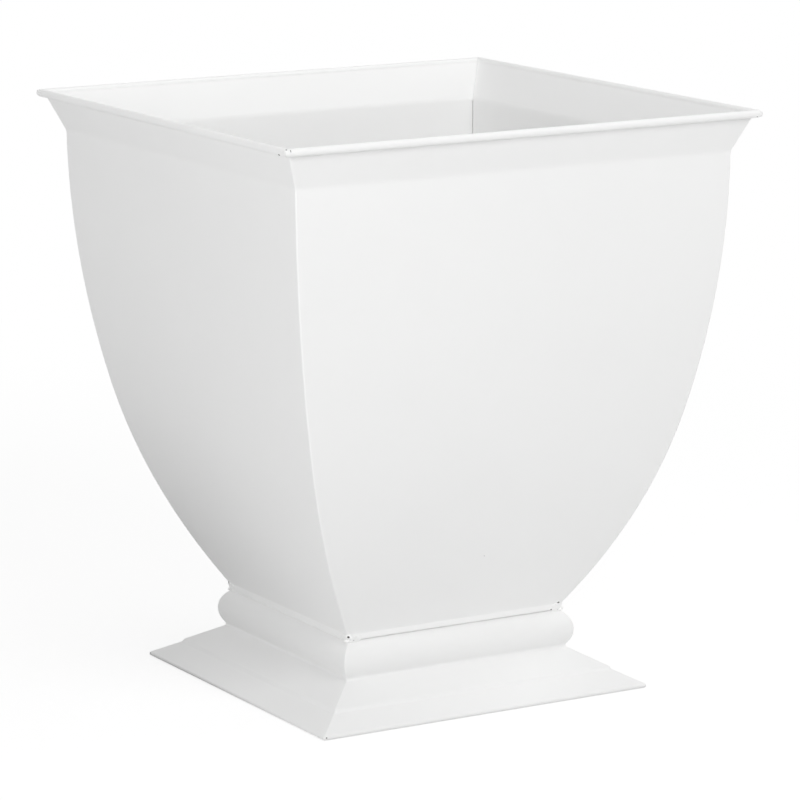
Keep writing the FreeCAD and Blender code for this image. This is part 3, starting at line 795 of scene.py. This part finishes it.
def seen(tree):
    """1 for rays that show the background: straight from the camera, mirrored or through glass."""
    path = add(tree, "ShaderNodeLightPath").outputs
    straight = calc(tree, "MAXIMUM", path["Is Camera Ray"], path["Is Glossy Ray"])
    return calc(tree, "MAXIMUM", straight, path["Is Transmission Ray"])


def make_world():
    """White where it is seen, and an even light elsewhere."""
    world = bpy.data.worlds.new("studio")
    world.use_nodes = True
    tree = world.node_tree
    background = tree.nodes["Background"]
    background.inputs["Color"].default_value = (1, 1, 1, 1)
    feed(tree, background.inputs["Strength"], between(tree, seen(tree), WORLD_LIGHT, 1.0))
    bpy.context.scene.world = world


def floor_finish():
    """Pale and matt, shown near white, with the object's shadow kept close to it."""
    finish = bpy.data.materials.new("pale_floor")
    finish.use_nodes = True
    tree = finish.node_tree
    tree.nodes.remove(tree.nodes["Principled BSDF"])
    spot = add(tree, "ShaderNodeTexCoord").outputs["Object"]
    away = add(tree, "ShaderNodeVectorMath", {"operation": "LENGTH"})
    feed(tree, away.inputs[0], spot)
    far = add(tree, "ShaderNodeMapRange", {"interpolation_type": "SMOOTHSTEP"}, Value=away.outputs["Value"],
              From_Min=FLOOR_FADE[0], From_Max=FLOOR_FADE[1]).outputs["Result"]
    # The floor gives back less light behind and to the left of the object: a painted shadow, seen only in
    # the light that it bounces.
    aside = add(tree, "ShaderNodeVectorMath", {"operation": "DISTANCE"})
    feed(tree, aside.inputs[0], spot)
    feed(tree, aside.inputs[1], FLOOR_SHADOW_PLACE)
    given_back_shadowed = add(tree, "ShaderNodeMapRange", Value=aside.outputs["Value"], From_Min=FLOOR_SHADOW_REACH[0],
                     From_Max=FLOOR_SHADOW_REACH[1], To_Min=FLOOR_SHADOW_TONE, To_Max=FLOOR_TONE).outputs["Result"]
    shown = seen(tree)
    tone = between(tree, shown, given_back_shadowed, between(tree, far, FLOOR_SHOWN, 0.0))
    matt = add(tree, "ShaderNodeBsdfDiffuse", Color=tone)
    lift = add(tree, "ShaderNodeEmission", Color=(1, 1, 1, 1),
               Strength=calc(tree, "MULTIPLY", shown, between(tree, far, FLOOR_LIFT, 1.0)))
    both = tree.nodes.new("ShaderNodeAddShader")
    feed(tree, both.inputs[0], matt.outputs[0])
    feed(tree, both.inputs[1], lift.outputs[0])
    feed(tree, tree.nodes["Material Output"].inputs["Surface"], both.outputs[0])
    return finish


def make_floor():
    """A wide square floor, just under the feet."""
    corners = [(-1, -1), (1, -1), (1, 1), (-1, 1)]
    mesh = bpy.data.meshes.new("floor")
    mesh.from_pydata([(x * FLOOR_HALF, y * FLOOR_HALF, 0) for x, y in corners], [], [(0, 1, 2, 3)])
    mesh.materials.append(floor_finish())
    floor = bpy.data.objects.new("floor", mesh)
    floor.location.z = -FLOOR_DROP
    bpy.context.scene.collection.objects.link(floor)


def make_softboxes():
    """Square soft lamps, each turned to the object and out of the picture."""
    for name, (azimuth, elevation, distance, width, watts) in SOFTBOXES.items():
        lamp = bpy.data.lights.new(name, "AREA")
        lamp.energy, lamp.size = watts, width
        towards = place_round(math.radians(azimuth), math.radians(elevation))
        softbox = bpy.data.objects.new(name, lamp)
        softbox.location = LIGHT_AIM + towards * distance
        softbox.rotation_mode = "QUATERNION"
        softbox.rotation_quaternion = towards.to_track_quat("Z", "Y")
        softbox.visible_camera = False
        bpy.context.scene.collection.objects.link(softbox)


def make_camera():
    """A long lens at the front left, a little above the rim."""
    lens = bpy.data.cameras.new("camera")
    lens.lens, lens.sensor_width = CAMERA_LENS, CAMERA_SENSOR
    camera = bpy.data.objects.new("camera", lens)
    back = place_round(CAMERA_AZIMUTH, CAMERA_ELEVATION)
    right = Vector((math.cos(CAMERA_AZIMUTH), math.sin(CAMERA_AZIMUTH), 0))
    up = back.cross(right)
    right, up = (math.cos(CAMERA_ROLL) * right + math.sin(CAMERA_ROLL) * up,
                 math.cos(CAMERA_ROLL) * up - math.sin(CAMERA_ROLL) * right)
    turn = Matrix((right, up, back)).transposed().to_4x4()
    camera.matrix_world = Matrix.Translation(CAMERA_AIM + back * CAMERA_DISTANCE) @ turn
    bpy.context.scene.collection.objects.link(camera)
    bpy.context.scene.camera = camera


# The planter, dressed

coat = white_coat("white_coat")
sheet_tree = formed_sheet_tree()
bowl = bowl_section()
formed_panels("bowl", bowl, BOWL_CORNER, BOWL_FACE_SPANS, coat, sheet_tree)
# The plinth's coat is the bowl's made greyer: painted shade under the bowl.
plinth_painted_shade_coat = white_coat("plinth_painted_shade_coat", shade=PLINTH_PAINTED_SHADE)
formed_panels("plinth", plinth_section(), PLINTH_CORNER, PLINTH_FACE_SPANS, plinth_painted_shade_coat, sheet_tree)
weld_marks(bowl[0], white_coat("weld_coat", pinholes=True))
finish_node("bowl_floor", coat)
wire = drawn_wire()
for side in SIDES:
    finish_node(f"rim_wire_{side}", wire)
lathed_plug(moulded_rubber())

make_world()
make_floor()
make_softboxes()
make_camera()
bpy.context.scene.view_settings.view_transform = "Standard"
